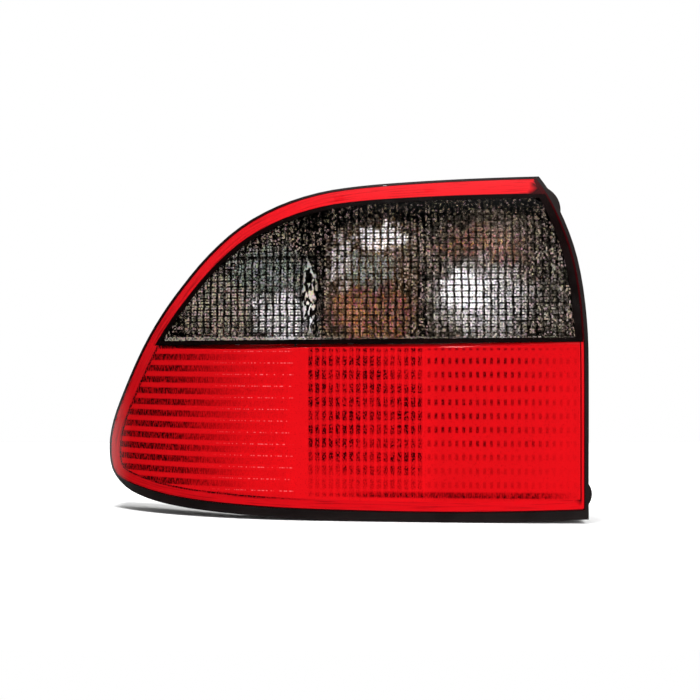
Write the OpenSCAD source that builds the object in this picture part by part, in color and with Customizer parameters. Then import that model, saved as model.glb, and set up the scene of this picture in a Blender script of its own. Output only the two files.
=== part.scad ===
// Left rear lamp of a car: a moulded housing with a red and smoked lens,
// reflector bowls, a clip-on bulb carrier with five bulbs, and four studs.
// X runs across the car, to the right as seen from behind it. Y runs forward
// into the body. Z is up. The origin lies on the body panel's face, in the
// middle of the four studs. Millimetres.

/* [Outline seen from behind] */
// Reach from the middle of the studs to the straight inner edge
inner_reach = 124; // [118:1:132]
// Reach from the middle of the studs to the tip of the wing
wing_reach = 234; // [226:1:244]
// Height of the top edge above the studs' middle
top_reach = 131; // [126:1:138]
// Depth of the bottom edge below the studs' middle
low_reach = 117.5; // [114:0.5:124]

/* [Lens form] */
// How far the lens stands out in front of the body panel
lens_front = 78; // [74:1:86]
// Radius of the broad front face, seen from above
front_r = 1486; // [1400:10:1600]
// Radius of the bend round the corner of the car
corner_r = 230; // [224:1:240]
// Angle of the face at the inner edge
inner_tilt = 2.5; // [2:0.1:3]
// Angle of the front face beside the bend
corner_tilt = 10.5; // [9.5:0.1:11]
// Extra turn of the face at the crease where the bend begins, in degrees
crease = 2; // [1.6:0.1:3]
// Angle of the face at the tip of the wing
wrap = 61.3; // [58:0.1:63]
// Height at which the face starts to lean back
lean_from = 12; // [8:1:16]
// Radius of the lean, seen from the side
lean_r = 250; // [235:5:290]
// Wall of the lens
lens_wall = 2.6; // [2.2:0.1:3]
// Depth of the skirt that goes into the housing
skirt_depth = 9; // [8:0.5:10]
// Wall of the skirt
skirt_wall = 2.2; // [1.8:0.1:2.6]

/* [Edges and window] */
// Housing edge left in sight above and beside the lens
rim_top = 1.4; // [1.2:0.1:2]
// Housing edge left in sight at the inner side
rim_inner = 2.8; // [2:0.1:4]
// Housing edge left in sight below the lens
rim_low = 6.8; // [5:0.1:8]
// Red strip and frame beside the window
border_side = 8; // [7:0.5:9]
// Red strip and frame above the window
border_top = 14.5; // [13:0.5:16]
// Extra width of the red strip toward the inner end
border_flare = 1.8; // [0:0.1:3]
// Width from the inner edge to the window
border_inner = 9.2; // [8.5:0.1:10]
// Height of the seam between window and red lens
seam_height = 13; // [8:1:18]
// Rise of the seam toward the inner end, in degrees
seam_tilt = 0.45; // [0:0.05:1]
// Width of the black window frame
frame_w = 2.6; // [2:0.1:3.2]
// Width of the frame along the inner edge
frame_inner_w = 5; // [4:0.1:5.2]
// Width of the frame along the seam
frame_seam_w = 3; // [2:0.1:4]
// How far the frame stands proud of the lens
frame_proud = 0.3; // [0:0.1:0.8]

/* [Lens optics] */
// Pitch of the round ribs in the wing
rib_pitch = 8.4; // [7:0.1:10]
// Radius of a rib
rib_r = 1.6; // [1.2:0.1:2]
// Number of ribs
rib_count = 12; // [8:1:13]
// Width of one pillow of the red lens
pillow_w = 4.9; // [4.5:0.1:8]
// Height of one pillow of the red lens
pillow_h = 9.8; // [8:0.1:14]
// Width and height of one pillow of the window
window_pillow = 5.2; // [5:0.1:9]
// How far a pillow stands in
pillow_rise = 0.9; // [0.5:0.1:1.2]

/* [Housing] */
// Wall of the housing
wall = 2.5; // [2:0.1:3]
// Thickness of the gasket, which sets the housing back from the panel
gasket_t = 5; // [4:0.5:6]
// How far past the bulb box the back of the housing turns forward
wing_start = 16; // [15.5:0.5:20]
// How far the wing runs past the body panel
wing_back = 98; // [94:1:104]
// Depth of the channel that takes the skirt
channel_depth = 11.4; // [11:0.1:12]

/* [Bulb box and carrier] */
// Width of the bulb box
box_w = 194; // [190:1:196]
// Height of the bulb box
box_h = 144; // [142:1:146]
// Middle of the bulb box beside the studs' middle
box_x = -15; // [-16:0.5:-14]
// Depth of the bulb box behind the body panel
box_back = 19.7; // [18:0.1:22]
// Thickness of the carrier's seal
seal_t = 2.3; // [2:0.1:3]
// Thickness of the carrier plate
plate_t = 2.5; // [2:0.1:3]
// Bore of a bulb holder
holder_bore_r = 7.75; // [7.7:0.05:8]
// Wall of a bulb holder
holder_wall = 1.8; // [1.5:0.1:2.2]
// Depth of the connector
plug_depth = 17; // [15:1:20]
// Width of the connector's mouth
plug_w = 30; // [28:1:34]
// Height of the connector's mouth
plug_h = 13; // [12:1:15]

/* [Bulbs and reflectors] */
// Radius of a bulb's metal cap
cap_r = 7.5; // [7.3:0.05:7.6]
// Radius of a large bulb
bulb_r = 13.2; // [12:0.1:13.4]
// Radius of the small side bulb
side_bulb_r = 9.3; // [8.6:0.1:9.6]
// Focal length of the bowls
focus = 25; // [24:0.5:28]
// Wall of a bowl
bowl_wall = 1.6; // [1.2:0.1:2]

/* [Studs] */
// Spacing of the studs across
stud_dx = 185; // [183:1:187]
// How far past the bulb box the studs stand, above and below it
stud_past = 18; // [17.6:0.2:20]
// Radius of a stud
stud_r = 3; // [2.5:0.5:3]
// Length of a stud beyond the body panel
stud_len = 22; // [18:1:30]

/* [Hidden] */
$fn = 64;
arc_fn = 256;

// Clearances between pieces that fit together.
gap = 0.2;
fit_gap = 0.15;

// Centres of the two arcs of the face. They cross at the crease, and the
// bend's arc counts only to the left of bend_x.
front_c = [inner_reach + front_r * sin(inner_tilt),
    -lens_front + front_r * cos(inner_tilt)];
bend_tilt = corner_tilt + crease;
crease_x = -wing_reach + corner_r * (sin(wrap) - sin(bend_tilt));
crease_at = [crease_x, front_c[1] - sqrt(front_r * front_r - pow(crease_x - front_c[0], 2))];
corner_c = crease_at + corner_r * [sin(bend_tilt), cos(bend_tilt)];
bend_x = crease_x + sin(crease) / (1 / corner_r - 1 / front_r);

// Setback of a surface that lies d inside the face, at height z.
function setback(z, d) = z > lean_from
    ? lean_r - sqrt(pow(lean_r - d, 2) - pow(z - lean_from, 2)) : d;
function arc_y(c, r, x) = c[1] - sqrt(max(0, r * r - pow(x - c[0], 2)));
function lens_y(x, z, d) = let (b = setback(z, d), f = arc_y(front_c, front_r - b, x))
    x > bend_x ? f : max(f, arc_y(corner_c, corner_r - b, x));

// A smooth curve through knots.
function curve_pt(a, b, c, d, t) = (2 * b + (c - a) * t + (2 * a - 5 * b + 4 * c - d) * t * t
    + (3 * b - a - 3 * c + d) * t * t * t) / 2;
function curve(k, n) = [for (i = [0 : len(k) - 2]) for (s = [0 : n - 1])
    curve_pt(k[max(i - 1, 0)], k[i], k[i + 1], k[min(i + 2, len(k) - 1)], s / n),
    k[len(k) - 1]];

// Knots of the outline as first drawn, stretched to the four reaches.
drawn = [124, 234, 131, 117.5];
function stretch(p) = [p[0] * (p[0] > 0 ? inner_reach / drawn[0] : wing_reach / drawn[1]),
    p[1] * (p[1] > 0 ? top_reach / drawn[2] : low_reach / drawn[3])];
sweep_knots = [[124, -115], [80, -116.5], [36, -117.4], [-8, -117.5], [-52, -117],
    [-96, -116], [-140, -114], [-172, -111.5], [-198, -107.5], [-218, -100.5],
    [-231, -88], [-234, -70], [-230, -50], [-219, -25], [-203, 6], [-187, 31],
    [-170, 53], [-150, 75.5], [-126, 96], [-98, 111], [-68, 120.5], [-38, 125],
    [-4, 127.5], [30, 129.2], [62, 130.3], [92, 131]];
inner_knots = [[92, 131], [99, 120], [105.5, 106], [112, 88.5], [117, 70], [120.5, 49],
    [122.8, 26], [123.8, 6], [124, -20], [124, -50], [124, -80], [124, -115]];
sweep = curve([for (p = sweep_knots) stretch(p)], 3);
inner = curve([for (p = inner_knots) stretch(p)], 2);

// Inward normals along a line of points, and the line moved inward by the
// distances in d.
function unit(v) = v / norm(v);
function normals(p) = [for (i = [0 : len(p) - 1])
    let (t = unit(p[min(i + 1, len(p) - 1)] - p[max(i - 1, 0)])) [t[1], -t[0]]];
function moved(p, n, d) = [for (i = [0 : len(p) - 1]) p[i] + n[i] * d[i]];
sweep_n = normals(sweep);
inner_n = normals(inner);
function clamp01(v) = min(1, max(0, v));

// Width of the housing's edge round the lens, by the way the outline faces.
rim = [for (n = sweep_n) rim_top + (rim_low - rim_top) * clamp01((n[1] - 0.7) / 0.28)];
// Width from the outline to the window: wider above it, and wider inboard.
border = [for (i = [0 : len(sweep) - 1]) border_side
    + (border_top - border_side) * clamp01(-sweep_n[i][1])
    + border_flare * clamp01((sweep[i][0] + 60) / (inner_reach + 30))];

// Closed areas from a moved sweep and a moved inner edge.
far = 60;
function all_of(v, n) = [for (i = [1 : n]) v];
module area(sweep_d, inner_d) {
    s = moved(sweep, sweep_n, sweep_d);
    i = moved(inner, inner_n, all_of(inner_d, len(inner)));
    last = len(s) - 1;
    intersection() {
        polygon(concat(s, [[inner_reach + far, s[last][1]], [inner_reach + far, s[0][1]]]));
        polygon(concat([i[0] + [-0.6 * far, far]], i, [i[len(i) - 1] - [0, far],
            [-wing_reach - far, -low_reach - far], [-wing_reach - far, top_reach + far]]));
    }
}
module outline_area() area(0 * rim, 0);
module lens_area(inset) area([for (r = rim) r + inset], rim_inner + inset);
function seam_z(x) = seam_height + x * tan(seam_tilt);
module above_seam(drop) {
    polygon([[-wing_reach - far, seam_z(-wing_reach - far) - drop],
        [inner_reach + far, seam_z(inner_reach + far) - drop],
        [inner_reach + far, top_reach + far], [-wing_reach - far, top_reach + far]]);
}
// The window, grown by side along its curved edges, by inward at the inner
// edge and by drop at the seam.
module window_area(side, inward, drop) {
    intersection() {
        area([for (b = border) b - side], border_inner - inward);
        above_seam(drop);
    }
}
module frame_outer(inset) {
    window_area(frame_w - inset, frame_inner_w - inset, frame_seam_w - inset);
}

// Straight prism along Y from a front to a back plane.
module prism(y0, y1) {
    translate([0, y1, 0]) rotate([90, 0, 0]) linear_extrude(y1 - y0) children();
}
module through() prism(-lens_front - 20, wing_back + 20) children();

// Section of everything behind the surface d inside the face, back to r_in.
z_low = -low_reach - 20;
z_high = top_reach + 20;
module section(r, d, r_in) {
    translate([r_in, z_low]) square([r - d - r_in, lean_from - z_low]);
    intersection() {
        translate([r - lean_r, lean_from]) circle(r = lean_r - d, $fn = arc_fn);
        translate([r_in, lean_from]) square([r - r_in, z_high - lean_from]);
    }
}
front_core = front_r * cos(inner_tilt) - lens_front - wing_back - 30;
front_span = asin((front_c[0] + wing_reach + 30) / front_core);
module turned(c, start, span) {
    translate([c[0], c[1], 0])
        rotate_extrude(angle = span, start = start, $fn = arc_fn) children();
}
// Everything behind the surface d inside the face.
module behind(d) {
    intersection() {
        turned(front_c, 270 - front_span, front_span) section(front_r, d, front_core);
        union() {
            turned(corner_c, 0, 360) section(corner_r, d, 0);
            translate([bend_x, -lens_front - 40, z_low])
                cube([inner_reach + far - bend_x, lens_front + 160, z_high - z_low]);
        }
    }
}
// The part of a prism between the surfaces d0 and d1 inside the face.
module between(d0, d1) {
    difference() {
        intersection() {
            through() children();
            behind(d0);
        }
        behind(d1);
    }
}
// The part of a prism in front of the surface d inside the face.
module before(d) {
    difference() {
        through() children();
        behind(d);
    }
}

// Pillow optics: a grid of cells over columns x, from lows to highs, each
// cell raised to a point. The root of the slab lies at d_root.
module pillows(x, lows, highs, pitch, d_root, d_face) {
    n = len(x) - 1;
    m = ceil(max([for (i = [0 : n]) (highs[i] - lows[i]) / pitch]));
    function z(i, j) = min(lows[i] + j * pitch, highs[i]);
    function f(i, j) = i * (m + 1) + j;
    total = (n + 1) * (m + 1);
    function b(i, j) = total + f(i, j);
    function c(i, j) = 2 * total + i * m + j;
    function mid(i, j) = [(x[i] + x[i + 1]) / 2,
        (z(i, j) + z(i, j + 1) + z(i + 1, j) + z(i + 1, j + 1)) / 4];
    grid = [for (i = [0 : n]) for (j = [0 : m]) [x[i], z(i, j)]];
    mids = [for (i = [0 : n - 1]) for (j = [0 : m - 1]) mid(i, j)];
    function at(p, d) = [p[0], lens_y(p[0], p[1], d), p[1]];
    function tall(i, j) = z(i, j + 1) > z(i, j);
    cells = [for (i = [0 : n - 1]) for (j = [0 : m - 1])
        if (tall(i, j) || tall(i + 1, j)) [i, j]];
    faces = concat(
        [for (k = cells) [f(k[0], k[1]), f(k[0] + 1, k[1]), c(k[0], k[1])]],
        [for (k = cells) [f(k[0] + 1, k[1] + 1), f(k[0], k[1] + 1), c(k[0], k[1])]],
        [for (k = cells) if (tall(k[0] + 1, k[1]))
            [f(k[0] + 1, k[1]), f(k[0] + 1, k[1] + 1), c(k[0], k[1])]],
        [for (k = cells) if (tall(k[0], k[1]))
            [f(k[0], k[1] + 1), f(k[0], k[1]), c(k[0], k[1])]],
        [for (k = cells) if (tall(k[0], k[1]))
            [b(k[0], k[1]), b(k[0], k[1] + 1), b(k[0] + 1, k[1] + 1)]],
        [for (k = cells) if (tall(k[0] + 1, k[1]))
            [b(k[0], k[1]), b(k[0] + 1, k[1] + 1), b(k[0] + 1, k[1])]],
        [for (i = [0 : n - 1]) [f(i + 1, 0), f(i, 0), b(i, 0)]],
        [for (i = [0 : n - 1]) [f(i + 1, 0), b(i, 0), b(i + 1, 0)]],
        [for (i = [0 : n - 1]) [f(i, m), f(i + 1, m), b(i + 1, m)]],
        [for (i = [0 : n - 1]) [f(i, m), b(i + 1, m), b(i, m)]],
        [for (j = [0 : m - 1]) if (tall(n, j)) [f(n, j + 1), f(n, j), b(n, j)]],
        [for (j = [0 : m - 1]) if (tall(n, j)) [f(n, j + 1), b(n, j), b(n, j + 1)]],
        [for (j = [0 : m - 1]) if (tall(0, j)) [f(0, j), f(0, j + 1), b(0, j + 1)]],
        [for (j = [0 : m - 1]) if (tall(0, j)) [f(0, j), b(0, j + 1), b(0, j)]]);
    polyhedron(concat([for (p = grid) at(p, d_face)], [for (p = grid) at(p, d_root)],
        [for (p = mids) at(p, d_face + pillow_rise)]), faces, convexity = 10);
}
function steps(from, to, pitch) = let (n = floor((to - from) / pitch), c = (from + to) / 2)
    [for (i = [0 : n]) c + (i - n / 2) * pitch];

// Where the lamp's chambers meet, seen from behind.
wing_inner = -79;
indicator_outer = -66;
chamber_split = 8.5;
chamber_gap = 0.6;

// Red lens
lens_low = -low_reach + rim_low;
optics_root = lens_wall - 1;
valley = 0.2;
module red_pillows(x0, x1) {
    x = steps(x0, x1, pillow_w);
    z0 = lens_low + skirt_wall + 4;
    z1 = seam_height - frame_seam_w - 3;
    rows = floor((z1 - z0) / pillow_h);
    pillows(x, all_of(z1 - rows * pillow_h, len(x)), all_of(z1, len(x)), pillow_h,
        optics_root, lens_wall + valley);
}
module wing_ribs() {
    top = seam_height - frame_seam_w - 6;
    intersection() {
        turned(corner_c, 185, 80)
            for (i = [0 : rib_count - 1])
                translate([corner_r - lens_wall + gap, top - i * rib_pitch])
                    circle(r = rib_r, $fn = 32);
        through() intersection() {
            lens_area(skirt_wall + 1);
            translate([-wing_reach, z_low])
                square([wing_reach + wing_inner - 6, z_high - z_low]);
        }
    }
}
module red_lens() color([0.85, 0.04, 0.06]) {
    difference() {
        union() {
            between(0, lens_wall) lens_area(0);
            between(0.5, skirt_depth) difference() {
                lens_area(0);
                lens_area(skirt_wall);
            }
        }
        through() frame_outer(-fit_gap);
    }
    wing_ribs();
    red_pillows(wing_inner + 3, chamber_split - 1);
    red_pillows(chamber_split, inner_reach - rim_inner - skirt_wall - 2);
}

// Smoked window
function window_top(x) = min(
    lookup(x, [for (i = [0 : len(sweep) - 1]) if (sweep[i][1] > 0)
        sweep[i] + sweep_n[i] * (border[i] + fit_gap)]),
    lookup(x, [for (i = [0 : len(inner) - 1]) if (inner[i][1] > 0)
        inner[i] + inner_n[i] * (border_inner + fit_gap)]));
// Where the window's edge meets the seam on the wing.
window_left = min([for (i = [0 : len(sweep) - 1]) let (p = sweep[i] + sweep_n[i] * border[i])
    if (p[1] > seam_z(p[0])) p[0]]) - 1.5;
module smoke_lens() color([0.16, 0.15, 0.15, 0.8]) {
    x0 = window_left + 0.5;
    x1 = inner_reach - border_inner - 0.6;
    x = concat([x0, x0 + 2], steps(x0 + 4, x1 - 9, window_pillow), [x1 - 6, x1 - 3, x1 - 1, x1]);
    pillows(x, [for (v = x) seam_z(v) + fit_gap],
        [for (v = x) max(seam_z(v) + 2 * fit_gap, window_top(v) - fit_gap)],
        window_pillow, 0, lens_wall);
}
ledge_w = 1.4;
ledge_t = 1.2;
ledge_d = lens_wall + pillow_rise + gap;
module window_frame() color([0.05, 0.05, 0.05]) {
    between(-frame_proud, ledge_d + ledge_t) difference() {
        frame_outer(0);
        window_area(0, 0, 0);
    }
    between(ledge_d, ledge_d + ledge_t) difference() {
        window_area(0.5, 0.5, 0.5);
        window_area(-ledge_w, -ledge_w, -ledge_w);
    }
}

// Adhesive bead at the bottom of the channel
module lens_seal() color([0.12, 0.12, 0.12]) {
    between(skirt_depth + gap, channel_depth - gap) difference() {
        lens_area(gap);
        lens_area(skirt_wall);
    }
}

// Housing
floor_y = -gasket_t;
wing_x = box_x - box_w / 2 - wing_start;
wing_slope = (wing_back + gasket_t) / (wing_reach + wing_x);
function wing_y(x) = floor_y - (x - wing_x) * wing_slope;
function plan_back(s) = [[inner_reach + 20, -s], [wing_x - s * tan(atan(wing_slope) / 2), -s],
    [-wing_reach - 20, -s / cos(atan(wing_slope)) + wing_y(-wing_reach - 20) - floor_y]];
module in_plan(z0, z1) translate([0, 0, z0]) linear_extrude(z1 - z0) children();
// Everything in front of the housing's back, moved forward by s.
module before_back(s) {
    b = [for (p = plan_back(s)) p + [0, floor_y]];
    in_plan(z_low, z_high) polygon(concat(b, [[-wing_reach - 20, -lens_front - 20],
        [inner_reach + 20, -lens_front - 20]]));
}
channel_w = skirt_wall + 0.5;
channel_wall = 2;
cavity_inset = channel_w + channel_wall;
lens_recess = 8;
cavity_front = 6;
bowl_front = 12;
function rounded(w, h, r) = [for (k = [0 : 3]) for (s = [0 : 4])
    let (a = 90 * k + 22.5 * s, sx = (k == 0 || k == 3) ? 1 : -1, sz = k < 2 ? 1 : -1)
    [sx * (w / 2 - r) + r * cos(a), sz * (h / 2 - r) + r * sin(a)]];
module box_area(grow) {
    translate([box_x, 0]) polygon(rounded(box_w + 2 * grow, box_h + 2 * grow, 6 + grow));
}
stud_dz = box_h + 2 * stud_past;
module each_stud() {
    for (sx = [-1, 1])
        for (sz = [-1, 1])
            translate([sx * stud_dx / 2, 0, sz * stud_dz / 2]) rotate([90, 0, 0]) children();
}
boss_r = stud_r + 4.5;
boss_in = 11.4;
collar_r = stud_r + 0.3;
head_r = stud_r + 1.6;
head_t = 2.8;
latch_w = 14;
latch_z = [-40, 40];
catch_y = 9;
catch_t = 2.2;
catch_h = 2;
module catches() {
    for (sx = [-1, 1])
        for (z = latch_z)
            translate([box_x + sx * (box_w / 2 + catch_h / 2 - 0.5), catch_y + catch_t / 2, z])
                cube([catch_h + 1, catch_t, latch_w - 2], center = true);
}
gasket_w = 9;
vent_at = [0, -(box_h / 2 + 1 + gasket_w + low_reach) / 2];
vent_r = 3.5;
vent_wall = 1.5;
vent_h = 4;
rib_t = 2;
rib_h = 3.5;
wing_rib_low = -88;
wing_rib_pitch = 30;
floor_rib_h = 3;
gusset_w = 8;
module housing_ribs() {
    from = wing_x - 5;
    to = -wing_reach + 14;
    for (i = [0 : 4])
        in_plan(wing_rib_low + wing_rib_pitch * i, wing_rib_low + wing_rib_pitch * i + rib_t)
            polygon([[from, wing_y(from) - 4], [to, wing_y(to) - 4],
                [to, wing_y(to) + rib_h], [from, wing_y(from) + rib_h]]);
    rib_from = box_h / 2 + 12;
    for (x = [-60, -20, 20, 60])
        for (s = [-1, 1])
            translate([x - rib_t / 2, floor_y - 1, s > 0 ? rib_from : -low_reach + 5.5])
                cube([rib_t, floor_rib_h + 1,
                    s > 0 ? top_reach - 23 - rib_from : low_reach - 5.5 - rib_from]);
    for (sx = [-1, 1])
        for (sz = [-1, 1])
            for (a = [0, 90, 180])
                translate([sx * stud_dx / 2, floor_y, sz * stud_dz / 2]) rotate([0, -sz * a, 0])
                    translate([0, 0, -rib_t / 2]) linear_extrude(rib_t)
                        polygon([[boss_r - 1, -1], [boss_r + gusset_w, -1],
                            [boss_r + gusset_w, 0.5], [boss_r - 1, gasket_t - 1]]);
}
// Locating lugs on the inner edge: round, a little proud of the outline.
lug_proud = 2.6;
lug_top_r = 18;
lug_low_r = 12;
lug_top_at = stretch([102.3, 113]) - [0.907, 0.42] * (lug_top_r - lug_proud);
lug_low_at = stretch([124, -97]) - [lug_low_r - lug_proud + 0.3, 0];
module housing_area() {
    outline_area();
    translate(lug_top_at) circle(r = lug_top_r);
    translate(lug_low_at) circle(r = lug_low_r);
}
module housing() color([0.07, 0.07, 0.075]) {
    difference() {
        union() {
            intersection() {
                through() housing_area();
                before_back(0);
                behind(1);
            }
            prism(floor_y - 1, box_back) box_area(0);
            catches();
            each_stud() cylinder(r = boss_r, h = boss_in);
            intersection() {
                housing_ribs();
                through() outline_area();
            }
            translate([vent_at[0], floor_y + vent_h, vent_at[1]]) rotate([90, 0, 0])
                cylinder(r = vent_r + vent_wall, h = vent_h + 1);
        }
        before(lens_recess) lens_area(-fit_gap);
        before(channel_depth) difference() {
            lens_area(-fit_gap);
            lens_area(channel_w);
        }
        intersection() {
            through() lens_area(cavity_inset);
            difference() {
                before_back(wall);
                each_stud() cylinder(r = boss_r, h = boss_in);
            }
            behind(cavity_front);
        }
        prism(floor_y - wall - 1, box_back + 1) box_area(-wall);
        each_stud() translate([0, 0, -1]) cylinder(r = collar_r + 0.1, h = boss_in + 2);
        each_stud() translate([0, 0, boss_in - head_t - gap])
            cylinder(r = head_r + gap, h = head_t + 5);
        translate([vent_at[0], floor_y + vent_h + 1, vent_at[1]]) rotate([90, 0, 0])
            cylinder(r = vent_r, h = vent_h + wall + 3);
    }
}

// Reflector bowls
bulb_z = box_h / 2 - 28;
tail_at = [box_x - 13, -bulb_z];
fog_at = [box_x + box_w / 2 - 32, -bulb_z];
indicator_at = [tail_at[0], bulb_z];
reverse_at = [fog_at[0], bulb_z];
side_at = [box_x - box_w / 2 + 16, 30];
bowl_y = -3;
bulb_hole_r = bulb_r + 1.4;
module at_bulb(p, y) translate([p[0], y, p[1]]) rotate([90, 0, 0]) children();
bowl_reach = 96;
module bowl_space(p, back) {
    deep = lens_front + far;
    at_bulb(p, bowl_y + back) rotate_extrude($fn = arc_fn) polygon(concat(
        [for (i = [0 : 12]) let (r = bowl_reach * i / 12) [r, r * r / (4 * focus)]],
        [[bowl_reach, deep], [0, deep]]));
}
module cell_area(x0, x1, z0, z1, inset) {
    intersection() {
        lens_area(cavity_inset + 0.3 + inset);
        translate([x0 + inset, z0 + inset]) square([x1 - x0 - 2 * inset, z1 - z0 - 2 * inset]);
    }
}
module reflector(p, x0, x1, z0, z1) {
    difference() {
        intersection() {
            through() cell_area(x0, x1, z0, z1, 0);
            bowl_space(p, bowl_wall);
            behind(bowl_front);
        }
        intersection() {
            through() cell_area(x0, x1, z0, z1, bowl_wall);
            bowl_space(p, 0);
        }
        at_bulb(p, 20) cylinder(r = bulb_hole_r, h = 60);
    }
}
split_low = seam_height - 2;
module tail_reflector() color([0.8, 0.8, 0.82])
    reflector(tail_at, wing_inner + 2, chamber_split - chamber_gap, z_low, split_low);
module fog_reflector() color([0.8, 0.8, 0.82])
    reflector(fog_at, chamber_split, inner_reach, z_low, split_low);
module indicator_reflector() color([0.8, 0.8, 0.82])
    reflector(indicator_at, indicator_outer, chamber_split - chamber_gap,
        split_low + chamber_gap, z_high);
module reverse_reflector() color([0.8, 0.8, 0.82])
    reflector(reverse_at, chamber_split, inner_reach, split_low + chamber_gap, z_high);

// Trough behind the wing: a flat part behind the side bulb and a slope.
trough_y = -14;
side_hole_r = side_bulb_r + 1.4;
module side_reflector() color([0.8, 0.8, 0.82]) {
    b = plan_back(wall + 1);
    x_end = -wing_reach + 6;
    y_end = b[1][1] + floor_y - (x_end - b[1][0]) * wing_slope;
    t = bowl_wall;
    x_turn = b[1][0] + (b[1][1] + floor_y - trough_y - t) / wing_slope;
    x_in = wing_inner - 5;
    difference() {
        intersection() {
            in_plan(z_low, z_high) polygon([[x_in, -70], [x_in, trough_y + t],
                [x_turn, trough_y + t], [x_end, y_end], [x_end, y_end - 1.4 * t],
                [x_turn - 0.4 * t, trough_y], [x_in - t, trough_y], [x_in - t, -70]]);
            through() lens_area(cavity_inset + 0.3);
            behind(bowl_front);
        }
        at_bulb(side_at, 0) cylinder(r = side_hole_r, h = 40);
    }
}

// Bulb carrier: plate, bulb holders with bayonet slots, connector and latches
plate_y = box_back + seal_t;
bulb_spots = [tail_at, fog_at, indicator_at, reverse_at, side_at];
holder_front = 1;
cap_back = plate_y - 3.5;
pin_y = 7;
pin_r = 1;
plug_at = [11, 0];
plug_wall = 1.6;
rivet_r = 1.2;
plate_back = plate_y + plate_t;
plate_rim_w = 2;
plate_rim_h = 2;
plate_rib_h = 1.6;
ring_in = 10.5;
ring_w = 1.5;
latch_t = 1.8;
tab_h = 7;
// Rim, ribs and rings on the back of the plate, with room for the tracks.
module plate_relief() {
    prism(plate_back - 0.5, plate_back + plate_rim_h) difference() {
        box_area(0);
        box_area(-plate_rim_w);
    }
    prism(plate_back - 0.5, plate_back + plate_rib_h) difference() {
        union() {
            for (p = bulb_spots) translate(p) difference() {
                circle(r = ring_in + ring_w);
                circle(r = ring_in);
            }
            for (x = rib_columns)
                translate([x - rib_t / 2, -box_h / 2 + 1]) square([rib_t, box_h - 2]);
        }
        offset(delta = 0.5) tracks_area();
        for (p = bulb_spots) translate(p) circle(r = ring_in);
    }
}
rib_columns = [box_x - box_w / 2 + 36, box_x - box_w / 2 + 56, box_x + box_w / 2 - 4];
module slots(p) {
    for (a = [0, 180]) at_bulb(p, 0) rotate(a) {
        translate([0, -pin_r - 0.25, -pin_y - pin_r - 0.3])
            cube([holder_bore_r + holder_wall + 1, 2 * pin_r + 0.5, pin_y + pin_r + 5]);
    }
}
module latch(sx) {
    x_in = box_w / 2 + catch_h + 0.6;
    for (z = latch_z) translate([box_x, 0, z]) {
        translate([sx > 0 ? x_in : -x_in - latch_t, catch_y - 4, -latch_w / 2])
            cube([latch_t, plate_back - catch_y + 4, latch_w]);
        translate([sx > 0 ? x_in - latch_t : -x_in - 0.2, catch_y - 4, -latch_w / 2])
            cube([2, 4 - 0.3, latch_w]);
        translate([sx > 0 ? box_w / 2 - 1 : -x_in - latch_t, plate_y, -latch_w / 2])
            cube([x_in + latch_t - box_w / 2 + 1, plate_t, latch_w]);
        translate([sx > 0 ? x_in - 0.6 : -x_in - latch_t, plate_back - 0.5, 2 - latch_w / 2])
            cube([latch_t + 0.6, tab_h, latch_w - 4]);
    }
}
// Ramp on the connector that the loom's plug snaps over.
plug_catch_w = 8;
module plug_catch() {
    translate([plug_at[0] - plug_catch_w / 2, 0, 0]) rotate([90, 0, 90])
        linear_extrude(plug_catch_w) polygon([[plate_back + 5, plug_high - 0.5],
            [plate_back + 5, plug_high + 1.8], [plate_back + 13, plug_high],
            [plate_back + 13, plug_high - 0.5]]);
}
module bulb_carrier() color([0.12, 0.12, 0.13]) {
    difference() {
        union() {
            prism(plate_y, plate_y + plate_t) box_area(0);
            for (p = bulb_spots) at_bulb(p, plate_y + 0.5)
                cylinder(r = holder_bore_r + holder_wall, h = plate_y + 0.5 - holder_front);
            translate([plug_at[0] - plug_w / 2 - plug_wall, plate_back - 0.5,
                plug_at[1] - plug_h / 2 - plug_wall])
                cube([plug_w + 2 * plug_wall, plug_depth + 0.5, plug_h + 2 * plug_wall]);
            latch(-1);
            latch(1);
            plate_relief();
            plug_catch();
        }
        for (p = bulb_spots) {
            at_bulb(p, plate_y) cylinder(r = holder_bore_r, h = 60);
            at_bulb(p, plate_back + 1) cylinder(r = rivet_r + 0.1, h = plate_t + 2);
            slots(p);
        }
        translate([plug_at[0] - plug_w / 2, plate_back, plug_at[1] - plug_h / 2])
            cube([plug_w, plug_depth + 1, plug_h]);
        for (i = [0 : 5]) pin_slot(i, 0.1);
    }
}
pin_pitch = 4.4;
pin_t = 0.8;
pin_w = 2.4;
function pin_x(i) = plug_at[0] + (i - 2.5) * pin_pitch;
module pin_slot(i, c) {
    translate([pin_x(i) - pin_t / 2 - c, plate_y - 2 - c, plug_at[1] - pin_w / 2 - c])
        cube([pin_t + 2 * c, plate_t + plug_depth * 0.6 + 2 * c, pin_w + 2 * c]);
}
module connector_pins() color([0.75, 0.6, 0.3]) for (i = [0 : 5]) pin_slot(i, 0);
module carrier_seal() color([0.1, 0.1, 0.1]) {
    prism(box_back, plate_y) difference() {
        box_area(0);
        box_area(-wall);
    }
}

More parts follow.
